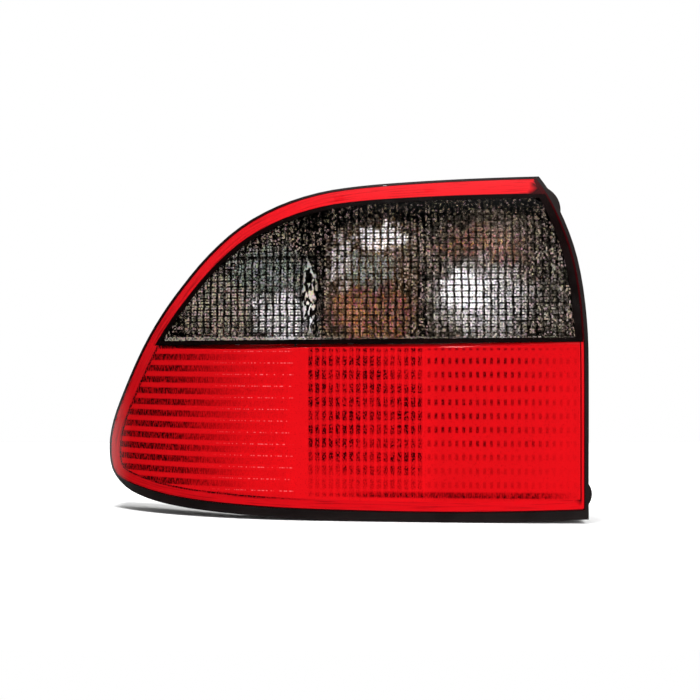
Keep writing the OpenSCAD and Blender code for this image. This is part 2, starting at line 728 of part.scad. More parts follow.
// Bulbs: a hollow glass on a metal cap
module glass(p, r, tip) {
    neck = cap_r - 0.6;
    centre = -tip - r;
    at_bulb(p, 0) rotate_extrude() difference() {
        union() {
            translate([0, -centre]) circle(r = r);
            translate([0, cap_front]) square([neck, -centre - cap_front]);
        }
        translate([-2 * r, -tip - 2 * r]) square([2 * r, 4 * r + 40]);
        translate([0, -centre]) circle(r = r - 0.8);
        translate([0, cap_front - 1]) square([neck - 0.8, -centre - cap_front + 1]);
    }
}
cap_front = 0.5;
tip_y = -35;
side_tip_y = -27;
module tail_bulb() color([0.95, 0.95, 0.95, 0.5]) glass(tail_at, bulb_r, -tip_y - 2 * bulb_r);
module fog_bulb() color([0.95, 0.95, 0.95, 0.5]) glass(fog_at, bulb_r, -tip_y - 2 * bulb_r);
module indicator_bulb() color([1, 0.6, 0.1, 0.6])
    glass(indicator_at, bulb_r, -tip_y - 2 * bulb_r);
module reverse_bulb() color([0.95, 0.95, 0.95, 0.5])
    glass(reverse_at, bulb_r, -tip_y - 2 * bulb_r);
module side_bulb() color([0.95, 0.95, 0.95, 0.5])
    glass(side_at, side_bulb_r, -side_tip_y - 2 * side_bulb_r);
module cap(p) color([0.8, 0.68, 0.35]) {
    at_bulb(p, cap_back) difference() {
        cylinder(r = cap_r, h = cap_back + cap_front);
        translate([0, 0, 2]) cylinder(r = cap_r - 0.6, h = cap_back + cap_front);
    }
    at_bulb(p, cap_back + 1.5) cylinder(r = 2.5, h = 2);
    at_bulb(p, pin_y) for (a = [0, 180]) rotate([0, 90, a])
        translate([0, 0, cap_r - 0.4]) cylinder(r = pin_r, h = 2.1);
}
module tail_cap() cap(tail_at);
module fog_cap() cap(fog_at);
module indicator_cap() cap(indicator_at);
module reverse_cap() cap(reverse_at);
module side_cap() cap(side_at);
module filament(p, y) {
    for (s = [-1, 1]) translate([p[0] + s * 2.5, y, p[1]]) rotate([-90, 0, 0])
        cylinder(r = 0.4, h = cap_back - 2.4 - y, $fn = 24);
    translate([p[0] - 3.2, y, p[1]]) rotate([0, 90, 0]) cylinder(r = 0.6, h = 6.4, $fn = 24);
    translate([p[0], -10, p[1]]) rotate([-90, 0, 0]) cylinder(r = 3.4, h = 6, $fn = 24);
}
module filaments() color([0.6, 0.6, 0.6]) {
    for (p = [tail_at, fog_at, indicator_at, reverse_at]) filament(p, bowl_y - focus + 3);
    filament(side_at, -18);
}
module contacts() color([0.8, 0.68, 0.35]) for (p = bulb_spots) {
    at_bulb(p, plate_back - 0.1) cylinder(r = rivet_r, h = plate_t + 0.4);
    translate([p[0] - 5, cap_back + 1.6, p[1] - 2]) cube([10, 0.6, 4]);
    at_bulb(p, plate_y) cylinder(r = 2, h = plate_y - cap_back - 2);
}

// Flat tracks on the back of the carrier
track_t = 0.8;
track_w = 5;
module strip(a, b) {
    d = b - a;
    translate(a) rotate(atan2(d[1], d[0])) translate([-track_w / 2, -track_w / 2])
        square([norm(d) + track_w, track_w]);
}
module track(points) for (i = [0 : len(points) - 2]) strip(points[i], points[i + 1]);
plug_low = plug_at[1] - plug_h / 2 - plug_wall;
plug_high = plug_at[1] + plug_h / 2 + plug_wall;
track_gap = track_w / 2 + 0.3;
lane_x = 13;
lane_z = 22;
side_lane_z = 4;
bus_z = -box_h / 2 + 9;
module lane(bulb, sx, sz) {
    x = plug_at[0] + sx * lane_x;
    z = plug_at[1] + sz * lane_z;
    track([bulb, [bulb[0], z], [x, z], [x, sz < 0 ? plug_low - track_gap : plug_high + track_gap]]);
}
module feed_area() {
    lane(tail_at, -1, -1);
    lane(fog_at, 1, -1);
    lane(indicator_at, -1, 1);
    lane(reverse_at, 1, 1);
    track([side_at, [side_at[0], side_lane_z],
        [plug_at[0] - plug_w / 2 - plug_wall - track_gap, side_lane_z]]);
}
module earth_area() {
    track([[plug_at[0], plug_low - track_gap], [plug_at[0], bus_z]]);
    track([[box_x - box_w / 2 + 32, bus_z], [box_x + box_w / 2 - 10, bus_z]]);
}
module tracks_area() {
    feed_area();
    earth_area();
}
module feed_tracks() color([0.72, 0.72, 0.7])
    prism(plate_back, plate_back + track_t) feed_area();
module earth_track() color([0.72, 0.72, 0.7])
    prism(plate_back, plate_back + track_t) earth_area();

module studs() color([0.75, 0.75, 0.76]) {
    each_stud() translate([0, 0, -stud_len]) cylinder(r = stud_r, h = stud_len);
    each_stud() cylinder(r = collar_r, h = boss_in - 1);
    each_stud() translate([0, 0, boss_in - head_t]) cylinder(r = head_r, h = head_t - 0.4);
}
gasket_r = 8;
module body_gasket() color([0.2, 0.2, 0.21]) {
    w = box_w + 2 * catch_h + 8;
    h = box_h + 2;
    prism(floor_y, 0) translate([box_x, 0]) difference() {
        polygon(rounded(w + 2 * gasket_w, h + 2 * gasket_w, gasket_r + gasket_w * 2 / 3));
        polygon(rounded(w, h, gasket_r));
    }
}
module vent_cap() color([0.15, 0.15, 0.16]) {
    difference() {
        translate([vent_at[0], floor_y + vent_h + 1.4, vent_at[1]]) rotate([90, 0, 0])
            cylinder(r = vent_r + vent_wall + 1.6, h = vent_h + 0.4);
        translate([vent_at[0], floor_y + vent_h, vent_at[1]]) rotate([90, 0, 0])
            cylinder(r = vent_r + vent_wall + fit_gap, h = vent_h + 2);
    }
}

housing();
red_lens();
smoke_lens();
window_frame();
lens_seal();
tail_reflector();
fog_reflector();
indicator_reflector();
reverse_reflector();
side_reflector();
bulb_carrier();
carrier_seal();
tail_bulb();
fog_bulb();
indicator_bulb();
reverse_bulb();
side_bulb();
tail_cap();
fog_cap();
indicator_cap();
reverse_cap();
side_cap();
filaments();
contacts();
earth_track();
feed_tracks();
connector_pins();
studs();
body_gasket();
vent_cap();
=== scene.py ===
"""Looks of a car's left rear lamp: lens optics, finishes, studio and camera.

Everything is in metres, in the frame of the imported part: X to the right as seen
from behind the car, Y forward into the body, Z up.
"""
import math

import bmesh
import bpy
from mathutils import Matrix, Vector
from mathutils.geometry import delaunay_2d_cdt


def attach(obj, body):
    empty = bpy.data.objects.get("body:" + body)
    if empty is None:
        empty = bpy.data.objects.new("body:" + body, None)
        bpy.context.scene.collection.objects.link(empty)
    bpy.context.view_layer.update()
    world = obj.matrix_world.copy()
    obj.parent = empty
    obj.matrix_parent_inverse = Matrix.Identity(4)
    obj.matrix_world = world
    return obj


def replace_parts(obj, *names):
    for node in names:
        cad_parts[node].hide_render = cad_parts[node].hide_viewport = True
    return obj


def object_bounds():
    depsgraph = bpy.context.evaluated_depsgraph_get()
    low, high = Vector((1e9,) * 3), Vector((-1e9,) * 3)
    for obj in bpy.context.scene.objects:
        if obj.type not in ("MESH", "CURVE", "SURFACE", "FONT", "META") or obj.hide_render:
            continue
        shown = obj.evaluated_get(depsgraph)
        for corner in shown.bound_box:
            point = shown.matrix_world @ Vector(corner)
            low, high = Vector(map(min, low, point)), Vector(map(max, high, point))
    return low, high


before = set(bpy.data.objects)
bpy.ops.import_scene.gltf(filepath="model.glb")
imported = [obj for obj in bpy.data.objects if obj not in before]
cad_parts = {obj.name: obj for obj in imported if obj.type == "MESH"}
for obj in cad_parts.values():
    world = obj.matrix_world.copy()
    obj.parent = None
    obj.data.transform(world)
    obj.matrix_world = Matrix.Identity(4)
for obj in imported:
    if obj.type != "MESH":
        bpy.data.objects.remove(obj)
cad_low, cad_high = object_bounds()
MM = 0.001

# Driving dimensions of the lamp's face and optics, in millimetres
INNER_REACH, WING_REACH, TOP_REACH, LOW_REACH = 124, 234, 131, 117.5
LENS_FRONT, FRONT_R, CORNER_R = 78, 1486, 230
INNER_TILT, CORNER_TILT, CREASE = 2.5, 10.5, 2
LEAN_FROM, LEAN_R = 12, 250
LENS_WALL, SKIRT_WALL = 2.6, 2.2
RIM_TOP, RIM_INNER, RIM_LOW = 1.4, 2.8, 6.8
BORDER_SIDE, BORDER_TOP, BORDER_FLARE, BORDER_INNER = 8, 14.5, 1.8, 9.2
SEAM_HEIGHT, SEAM_TILT = 13, 0.45
FRAME_SEAM_W = 3
FRAME_W, FRAME_INNER_W, SKIRT_DEPTH = 2.6, 5, 9
RIB_PITCH, RIB_R, RIB_COUNT, RIB_MARGIN = 8.4, 1.6, 12, 6
PILLOW_W, PILLOW_H, PILLOW_RISE, PILLOW_MARGIN = 4.9, 9.8, 0.9, 3
WINDOW_PILLOW, WINDOW_LINE = 5.2, 4.25
VALLEY, FIT_GAP, GAP = 0.2, 0.15, 0.2
WING_INNER, CHAMBER_SPLIT = -79, 8.5
STRIP_W, STRIP_FLARE, INNER_STRIP_W = 7.6, 3.2, 3.2
LENS_LOW = -LOW_REACH + RIM_LOW
# The border is wider toward the inboard side, from this x on, over this width
FLARE_FROM, FLARE_RUN = -60, INNER_REACH + 30
# The foot of the lens keeps its full rim where the outline faces down by this much
RIM_TURN, RIM_TURN_RUN = 0.7, 0.28
# Further out than any part of the lamp
FAR = 60
# Pieces of mesh in one pillow, and the turn in degrees from which an edge is sharp
WINDOW_FINE, RED_FINE_X, RED_FINE_Z, SHARP = 5, 5, 8, 28

INNER_TILT_RAD, CORNER_TILT_RAD = math.radians(INNER_TILT), math.radians(CORNER_TILT)
BEND_RAD, CREASE_RAD = math.radians(CORNER_TILT + CREASE), math.radians(CREASE)
FRONT_C = (INNER_REACH + FRONT_R * math.sin(INNER_TILT_RAD),
           -LENS_FRONT + FRONT_R * math.cos(INNER_TILT_RAD))
CREASE_AT = (FRONT_C[0] - FRONT_R * math.sin(CORNER_TILT_RAD),
             FRONT_C[1] - FRONT_R * math.cos(CORNER_TILT_RAD))
CORNER_C = (CREASE_AT[0] + CORNER_R * math.sin(BEND_RAD),
            CREASE_AT[1] + CORNER_R * math.cos(BEND_RAD))
BEND_X = CREASE_AT[0] + math.sin(CREASE_RAD) / (1 / CORNER_R - 1 / FRONT_R)


def setback(z, d):
    """How far a surface that lies d inside the face is set back at height z."""
    if z <= LEAN_FROM:
        return d
    return LEAN_R - math.sqrt((LEAN_R - d) ** 2 - (z - LEAN_FROM) ** 2)


def arc_y(centre, radius, x):
    return centre[1] - math.sqrt(max(0, radius ** 2 - (x - centre[0]) ** 2))


def lens_y(x, z, d):
    """Y of the surface that lies d inside the face."""
    back = setback(z, d)
    front = arc_y(FRONT_C, FRONT_R - back, x)
    if x > BEND_X:
        return front
    return max(front, arc_y(CORNER_C, CORNER_R - back, x))


# Outline of the lamp, drawn as smooth curves through knots
SWEEP_KNOTS = [
    (124, -115), (80, -116.5), (36, -117.4), (-8, -117.5), (-52, -117), (-96, -116),
    (-140, -114), (-172, -111.5), (-198, -107.5), (-218, -100.5), (-231, -88), (-234, -70),
    (-230, -50), (-219, -25), (-203, 6), (-187, 31), (-170, 53), (-150, 75.5), (-126, 96),
    (-98, 111), (-68, 120.5), (-38, 125), (-4, 127.5), (30, 129.2), (62, 130.3), (92, 131)]
INNER_KNOTS = [
    (92, 131), (99, 120), (105.5, 106), (112, 88.5), (117, 70), (120.5, 49), (122.8, 26),
    (123.8, 6), (124, -20), (124, -50), (124, -80), (124, -115)]


def curve(knots, n):
    """Catmull-Rom curve with n points to a span."""
    points = []
    last = len(knots) - 1
    for i in range(last):
        a, b = knots[max(i - 1, 0)], knots[i]
        c, d = knots[i + 1], knots[min(i + 2, last)]
        for s in range(n):
            t = s / n
            points.append(tuple(
                (2 * b[k] + (c[k] - a[k]) * t + (2 * a[k] - 5 * b[k] + 4 * c[k] - d[k]) * t * t
                 + (3 * b[k] - a[k] - 3 * c[k] + d[k]) * t ** 3) / 2 for k in (0, 1)))
    points.append(knots[last])
    return points


def normals(points):
    """Inward normals along a line of points."""
    result = []
    for i in range(len(points)):
        a, b = points[max(i - 1, 0)], points[min(i + 1, len(points) - 1)]
        length = math.hypot(b[0] - a[0], b[1] - a[1])
        result.append(((b[1] - a[1]) / length, -(b[0] - a[0]) / length))
    return result


def clamp01(v):
    return min(1, max(0, v))


def moved(points, directions, distances):
    """Points shifted along their directions, each by its own distance."""
    return [(p[0] + n[0] * d, p[1] + n[1] * d)
            for p, n, d in zip(points, directions, distances)]


SWEEP = curve(SWEEP_KNOTS, 3)
SWEEP_N = normals(SWEEP)
INNER = curve(INNER_KNOTS, 2)
INNER_N = normals(INNER)
BORDER = [BORDER_SIDE + (BORDER_TOP - BORDER_SIDE) * clamp01(-n[1])
          + BORDER_FLARE * clamp01((p[0] - FLARE_FROM) / FLARE_RUN)
          for p, n in zip(SWEEP, SWEEP_N)]
RIM = [RIM_TOP + (RIM_LOW - RIM_TOP) * clamp01((n[1] - RIM_TURN) / RIM_TURN_RUN)
       for n in SWEEP_N]
STRIP = [STRIP_W + STRIP_FLARE * clamp01(n[0]) for n in SWEEP_N]


def seam_z(x):
    """Height of the line between the window and the red lens."""
    return SEAM_HEIGHT + x * math.tan(math.radians(SEAM_TILT))


def lookup(x, line):
    """Height of a line of points at x."""
    line = sorted(line)
    if x <= line[0][0]:
        return line[0][1]
    for a, b in zip(line, line[1:]):
        if x <= b[0]:
            return a[1] + (b[1] - a[1]) * (x - a[0]) / max(b[0] - a[0], 1e-9)
    return line[-1][1]


WINDOW_EDGE = [q for p, q in zip(SWEEP, moved(SWEEP, SWEEP_N, [b + FIT_GAP for b in BORDER]))
               if p[1] > 0]
WINDOW_INNER = [q for p, q in zip(INNER, moved(INNER, INNER_N,
                                               [BORDER_INNER + FIT_GAP] * len(INNER)))
                if p[1] > 0]


def window_top(x):
    return min(lookup(x, WINDOW_EDGE), lookup(x, WINDOW_INNER))


def steps(start, end, pitch):
    """Places a whole pitch apart, in the middle of the way from start to end."""
    n = math.floor((end - start) / pitch)
    middle = (start + end) / 2
    return [middle + (i - n / 2) * pitch for i in range(n + 1)]


def spaced(start, end, pitch):
    """Places from start to end, both included, about a pitch apart."""
    n = max(1, round((end - start) / pitch))
    return [start + (end - start) * i / n for i in range(n + 1)]


# Borders of the window's columns of pillows: full ones, with narrow ones at both ends
WINDOW_X0 = min(p[0] for p in moved(SWEEP, SWEEP_N, BORDER) if p[1] > seam_z(p[0])) - 1
WINDOW_X1 = INNER_REACH - BORDER_INNER - 0.6
WINDOW_COLUMNS = ([WINDOW_X0, WINDOW_X0 + 2]
                  + steps(WINDOW_X0 + 4, WINDOW_X1 - 9, WINDOW_PILLOW)
                  + [WINDOW_X1 - 6, WINDOW_X1 - 3, WINDOW_X1 - 1, WINDOW_X1])
COLUMN_START = WINDOW_COLUMNS[2]

# Places of the ribs and pillows of the red lens
RIB_TOP = SEAM_HEIGHT - FRAME_SEAM_W - RIB_MARGIN
RIB_END = WING_INNER - RIB_MARGIN
RIB_SINK = LENS_WALL - GAP
PILLOW_TOP = SEAM_HEIGHT - FRAME_SEAM_W - PILLOW_MARGIN
PILLOW_ROWS = math.floor((PILLOW_TOP - (LENS_LOW + SKIRT_WALL + 4)) / PILLOW_H)
PILLOW_LOW = PILLOW_TOP - PILLOW_ROWS * PILLOW_H
PILLOW_FIELDS = [steps(WING_INNER + PILLOW_MARGIN, CHAMBER_SPLIT - 1, PILLOW_W),
                 steps(CHAMBER_SPLIT, INNER_REACH - RIM_INNER - SKIRT_WALL - 2, PILLOW_W)]


# Mesh helpers
def mesh_object(name, bm, *materials):
    """An object with the mesh and its materials, in the scene."""
    mesh = bpy.data.meshes.new(name)
    bm.to_mesh(mesh)
    bm.free()
    for material in materials:
        mesh.materials.append(material)
    made = bpy.data.objects.new(name, mesh)
    bpy.context.scene.collection.objects.link(made)
    return made


def new_piece(name, bm, slot, *materials):
    """A mesh piece that rides on the lamp's one body."""
    piece = mesh_object(name, bm, *materials)
    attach(piece, "root")
    return piece


def finish_faces(bm):
    """Normals outward, and smooth shading with sharp edges where faces turn a lot."""
    bmesh.ops.recalc_face_normals(bm, faces=bm.faces)
    limit = math.radians(SHARP)
    for face in bm.faces:
        face.smooth = True
    for edge in bm.edges:
        edge.smooth = len(edge.link_faces) == 2 and edge.calc_face_angle(0) < limit


# Materials
def shader(name):
    """A new material, its node tree and its Principled shader."""
    material = bpy.data.materials.new(name)
    material.use_nodes = True
    tree = material.node_tree
    return material, tree, tree.nodes["Principled BSDF"]


def node(tree, kind, **values):
    """A new node; each value is a property of it or one of its inputs."""
    made = tree.nodes.new(kind)
    for key, value in values.items():
        if hasattr(made, key):
            setattr(made, key, value)
        else:
            made.inputs[key.replace("_", " ")].default_value = value
    return made


def coordinates(tree):
    """Place on the object, in metres."""
    return node(tree, "ShaderNodeTexCoord").outputs["Object"]


def noise(tree, scale, detail=4, vector=None):
    made = node(tree, "ShaderNodeTexNoise", Scale=scale, Detail=detail)
    tree.links.new(vector or coordinates(tree), made.inputs["Vector"])
    return made.outputs["Fac"]


def feed(tree, socket, value):
    """Links or sets an input, whichever the value is."""
    if isinstance(value, bpy.types.NodeSocket):
        tree.links.new(value, socket)
    else:
        socket.default_value = value


def map_range(tree, value, start, end, low, high, interpolation="LINEAR"):
    made = node(tree, "ShaderNodeMapRange", interpolation_type=interpolation)
    for name, number in (("Value", value), ("From Min", start), ("From Max", end),
                         ("To Min", low), ("To Max", high)):
        feed(tree, made.inputs[name], number)
    return made.outputs["Result"]


def spread(tree, value, low, high):
    """Maps the middle of a noise's range onto low to high."""
    return map_range(tree, value, 0.3, 0.7, low, high)


def blend_colour(tree, fac, a, b):
    """Colour a where fac is 0 and b where it is 1."""
    made = node(tree, "ShaderNodeMix", data_type="RGBA")
    for i, value in ((0, fac), (6, a), (7, b)):
        feed(tree, made.inputs[i], value)
    return made.outputs[2]


def bump(tree, height, distance, strength=1):
    made = node(tree, "ShaderNodeBump", Strength=strength, Distance=distance)
    tree.links.new(height, made.inputs["Height"])
    return made.outputs["Normal"]


def math_node(tree, operation, a, b=0.0, c=0.0):
    """Result of a math node; each input is a socket or a number."""
    made = node(tree, "ShaderNodeMath", operation=operation)
    for socket, value in zip(made.inputs, (a, b, c)):
        feed(tree, socket, value)
    return made.outputs[0]


def combined(tree, operation, values):
    """Several values put together two by two, such as their product."""
    result = values[0]
    for value in values[1:]:
        result = math_node(tree, operation, result, value)
    return result


def product(tree, *values):
    return combined(tree, "MULTIPLY", values)


def total(tree, *values):
    return combined(tree, "ADD", values)


def brightest(tree, *values):
    return combined(tree, "MAXIMUM", values)


def less(tree, a, b):
    return math_node(tree, "SUBTRACT", a, b)


def at_most(tree, value, limit=1):
    return math_node(tree, "MINIMUM", value, limit)


def ramp(tree, value, start, end, low=0.0, high=1.0):
    """Smooth change from low to high as value goes from start to end."""
    if start > end:
        start, end, low, high = end, start, high, low
    return map_range(tree, value, start, end, low, high, "SMOOTHSTEP")


def axes(tree):
    """X, Y and Z of the shading point in millimetres."""
    made = node(tree, "ShaderNodeSeparateXYZ")
    tree.links.new(coordinates(tree), made.inputs[0])
    return [math_node(tree, "MULTIPLY", socket, 1000) for socket in made.outputs]


def wave(tree, value, start, pitch):
    """1 in the middle of a repeating cell and 0 on its borders, like a cosine."""
    turns = product(tree, less(tree, value, start), 2 * math.pi / pitch)
    return math_node(tree, "MULTIPLY_ADD", math_node(tree, "COSINE", turns), -0.5, 0.5)


def stretched_noise(tree, sx, sz, detail=2):
    """Noise with cells of sx by sz millimetres."""
    mapping = node(tree, "ShaderNodeMapping")
    mapping.inputs["Scale"].default_value = (1000 / sx, 1000 / sx, 1000 / sz)
    tree.links.new(coordinates(tree), mapping.inputs["Vector"])
    return noise(tree, 1.0, detail, mapping.outputs[0])


def joined(tree, *values):
    """A vector of two or three values."""
    made = node(tree, "ShaderNodeCombineXYZ")
    for i, value in enumerate(values):
        feed(tree, made.inputs[i], value)
    return made.outputs[0]


def cell_chance(tree, x, z, width, height):
    """A number from 0 to 1 that changes from cell to cell, and a colour likewise."""
    cell = [math_node(tree, "FLOOR", math_node(tree, "DIVIDE", value, size))
            for value, size in ((x, width), (z, height))]
    made = node(tree, "ShaderNodeTexWhiteNoise", noise_dimensions="2D")
    tree.links.new(joined(tree, *cell), made.inputs["Vector"])
    return made.outputs["Value"], made.outputs["Color"]


def patch(tree, x, z, middle_x, middle_z, half_w, half_h, level):
    """A soft oval patch, at its level in the middle and 0 at its edge."""
    squares = [product(tree, way, way) for way in (
        math_node(tree, "DIVIDE", less(tree, x, middle_x), half_w),
        math_node(tree, "DIVIDE", less(tree, z, middle_z), half_h))]
    return ramp(tree, total(tree, *squares), 1.3, 0.05, 0, level)


def attribute(tree, name):
    """The three values of a point attribute of the mesh."""
    made = node(tree, "ShaderNodeAttribute", attribute_name=name)
    parts = node(tree, "ShaderNodeSeparateXYZ")
    tree.links.new(made.outputs["Vector"], parts.inputs[0])
    return parts.outputs


def moulded(name, low, high, rough, grain, grain_depth, sheen=0.5):
    """Injection-moulded plastic: mottled colour, uneven gloss and a fine grain."""
    material, tree, bsdf = shader(name)
    bsdf.inputs["Specular IOR Level"].default_value = sheen
    mottle = noise(tree, 35, 5)
    fine = noise(tree, grain, 3)
    tree.links.new(blend_colour(tree, spread(tree, mottle, 0, 1), low, high),
                   bsdf.inputs["Base Color"])
    tree.links.new(spread(tree, noise(tree, 90, 6), rough - 0.07, rough + 0.07),
                   bsdf.inputs["Roughness"])
    tree.links.new(bump(tree, fine, grain_depth), bsdf.inputs["Normal"])
    return material


def metal(name, colour, tint, rough, scale):
    """Bare or plated metal with cloudy tarnish and fine scratches."""
    material, tree, bsdf = shader(name)
    bsdf.inputs["Metallic"].default_value = 1
    cloud = noise(tree, scale, 6)
    tree.links.new(blend_colour(tree, spread(tree, cloud, 0, 1), colour, tint),
                   bsdf.inputs["Base Color"])
    tree.links.new(spread(tree, noise(tree, scale * 3, 4), rough - 0.05, rough + 0.1),
                   bsdf.inputs["Roughness"])
    tree.links.new(bump(tree, noise(tree, scale * 8, 2), 0.00002, 0.4), bsdf.inputs["Normal"])
    return material


def clear(name, colour, rough, ior=1.49):
    """Clear or dyed transparent plastic or glass."""
    material, tree, bsdf = shader(name)
    bsdf.inputs["Base Color"].default_value = colour
    bsdf.inputs["Transmission Weight"].default_value = 1
    bsdf.inputs["IOR"].default_value = ior
    tree.links.new(spread(tree, noise(tree, 60, 3), rough, rough + 0.03),
                   bsdf.inputs["Roughness"])
    return material


# Where the shade of the red optics fades, in millimetres along x or z
WING_SHADE_FROM, WING_SHADE_FULL = -105, -190
TAIL_FADE_FROM, TAIL_FADE_TO = -68, -92
FOG_FADE_FROM, FOG_FADE_TO = -58, -76
FOG_SIDE_FROM, FOG_SIDE_TO = 60, 116
FOOT_LEFT_FROM, FOOT_LEFT_FULL, FOOT_RIGHT_FULL, FOOT_RIGHT_END = -62, -15, 90, 118
# The last number is the level of painted shade that darkens the right-hand part of the red lens
FOOT_FULL_H, FOOT_H, FOOT_SHADE, FOG_FIELD_SHADE = 3.5, 5.5, 0.6, 0.16


def red_optics_pattern(tree):
    """Share of shade that the ribs and pillows of the red lens throw, from 0 to 1."""
    x, _, z = axes(tree)
    hatch = ramp(tree, stretched_noise(tree, 0.9, 3.2, 1), 0.34, 0.62, 0.35, 1)
    weave = ramp(tree, stretched_noise(tree, 0.8, 1.3, 1), 0.36, 0.62, 0.25, 1)
    cloud = stretched_noise(tree, 30, 24, 3)
    # Wing: bands of shade between the ribs
    wing = product(tree, ramp(tree, wave(tree, z, RIB_TOP, RIB_PITCH), 0.22, 0.6), hatch,
                   ramp(tree, x, RIB_END - 2, RIB_END - 10),
                   ramp(tree, x, WING_SHADE_FROM, WING_SHADE_FULL, 0.1, 1))
    # Pillows: dark dots in columns at the left, in rows at the right
    tail, fog = PILLOW_FIELDS
    rows = less(tree, 1, wave(tree, z, PILLOW_TOP, PILLOW_H))
    inside = product(tree, ramp(tree, z, PILLOW_TOP + 0.2, PILLOW_TOP - 1.5),
                     ramp(tree, z, PILLOW_LOW - 0.2, PILLOW_LOW + 1.5))
    left = product(tree, ramp(tree, wave(tree, x, tail[0], PILLOW_W), 0.1, 0.55, 0.1, 1),
                   ramp(tree, rows, 0.05, 0.45, 0.4, 1.15), weave,
                   ramp(tree, cloud, 0.4, 0.58, 0.75, 1.15),
                   ramp(tree, x, tail[0] - 0.5, tail[0] + 2),
                   ramp(tree, x, tail[-1] + 3, tail[-1] - 4),
                   ramp(tree, z, TAIL_FADE_FROM, TAIL_FADE_TO, 1, 0.4))
    right = product(tree, ramp(tree, wave(tree, x, fog[0], PILLOW_W), 0.35, 0.85),
                    ramp(tree, rows, 0.35, 0.85), ramp(tree, cloud, 0.36, 0.56, 0.5, 0.72),
                    ramp(tree, weave, 0.2, 0.8, 0.6, 1),
                    ramp(tree, x, fog[0] - 0.5, fog[0] + 1),
                    ramp(tree, x, FOG_SIDE_FROM, FOG_SIDE_TO, 1, 0.25),
                    ramp(tree, z, FOG_FADE_FROM, FOG_FADE_TO, 1, 0.4))
    foot = product(tree, ramp(tree, z, PILLOW_LOW - 0.5, PILLOW_LOW + 1),
                   ramp(tree, z, PILLOW_LOW + FOOT_H, PILLOW_LOW + FOOT_FULL_H), hatch,
                   ramp(tree, x, FOOT_LEFT_FROM, FOOT_LEFT_FULL),
                   ramp(tree, x, FOOT_RIGHT_END, FOOT_RIGHT_FULL))
    # Painted shade over the right-hand part of the red lens, coming in at the left edge of its
    # field of pillows
    right_field_shade = ramp(tree, x, fog[0] - 6, fog[0] + 12, 0, FOG_FIELD_SHADE)
    speck = ramp(tree, stretched_noise(tree, 0.8, 0.8, 1), 0.6, 0.72, 0, 0.3)
    pillows = product(tree, total(tree, left, right), inside)
    return at_most(tree, total(tree, pillows, wing, right_field_shade, product(tree, foot, FOOT_SHADE), speck))


DASH_W, DASH_FROM, DASH_FULL = 0.8, -155, -105


def rib_glints(tree):
    """Painted glints: short pale dashes where the ribs of the wing would mirror the light, from 0
    to 1.
    """
    x, _, z = axes(tree)
    crest = ramp(tree, wave(tree, z, RIB_TOP, RIB_PITCH), 0.03, 0.005)
    chance = cell_chance(tree, x, z, DASH_W, RIB_PITCH)[0]
    return product(tree, crest, ramp(tree, chance, 0.5, 0.95),
                   ramp(tree, z, RIB_TOP + 4, RIB_TOP),
                   ramp(tree, x, DASH_FROM, DASH_FULL), ramp(tree, x, RIB_END, RIB_END - 3))


STRIP_DEEP, STRIP_PALE = (0.62, 0.004, 0.008, 1), (0.72, 0.01, 0.016, 1)
# GLINT is the colour of the painted glints on the wing's ribs
GLINT, DYED_IOR = (1, 0.14, 0.16, 1), 1.36


def strip_colour(tree):
    """Colour of the plain strip, deep at the foot of the lamp and paler at its top."""
    return blend_colour(tree, ramp(tree, axes(tree)[2], -70, 70), STRIP_DEEP, STRIP_PALE)


def dyed(name, clear_colour, dark_colour, opaque, pattern, rough=0.0, glints=None):
    """Dyed clear plastic of which a share scatters light, with shade painted in by a pattern and
    painted glints where given.

    The clear colour is a colour, or a function that makes it in the node tree.
    """
    material, tree, bsdf = shader(name)
    bsdf.inputs["Transmission Weight"].default_value = 1 - opaque
    bsdf.inputs["IOR"].default_value = DYED_IOR
    bsdf.inputs["Roughness"].default_value = rough
    if callable(clear_colour):
        clear_colour = clear_colour(tree)
    colour = blend_colour(tree, pattern(tree), clear_colour, dark_colour)
    if glints:
        colour = blend_colour(tree, glints(tree), colour, GLINT)
    tree.links.new(colour, bsdf.inputs["Base Color"])
    return material


# The strip's streaks for each millimetre along it and across it
STREAKS_ALONG, STREAKS_ACROSS = 0.03, 1.1
CONTOUR_NONE, CONTOUR_FULL = -55, -120


def edge_streaks(tree):
    """Fine streaks along the strip and dark contours on its inner side."""
    along, inset, inboard = attribute(tree, "edge_way")
    window_gap = attribute(tree, "window_gap")[0]
    x, _, z = axes(tree)
    way = joined(tree, product(tree, along, STREAKS_ALONG), product(tree, inset, STREAKS_ACROSS))
    streak = ramp(tree, noise(tree, 1.0, 3, way), 0.5, 0.72, 0, 0.5)
    broken = ramp(tree, stretched_noise(tree, 1.5, 1.5, 1), 0.35, 0.6, 0.4, 1)
    contour = product(tree, ramp(tree, inset, STRIP_W - 1.7, STRIP_W - 0.9), broken,
                      ramp(tree, z, SEAM_HEIGHT - 3, SEAM_HEIGHT - 5),
                      ramp(tree, x, CONTOUR_NONE, CONTOUR_FULL))
    inner_contour = product(tree, inboard,
                            ramp(tree, inset, INNER_STRIP_W - 1, INNER_STRIP_W - 0.5))
    beside_window = product(tree, inboard,
                            ramp(tree, z, SEAM_HEIGHT - 4, SEAM_HEIGHT, 0, 0.97))
    groove = ramp(tree, window_gap, 0.9, 0.4)
    lip = ramp(tree, inset, 1.1, 0.5)
    return brightest(tree, streak, contour, inner_contour, beside_window, groove, lip)
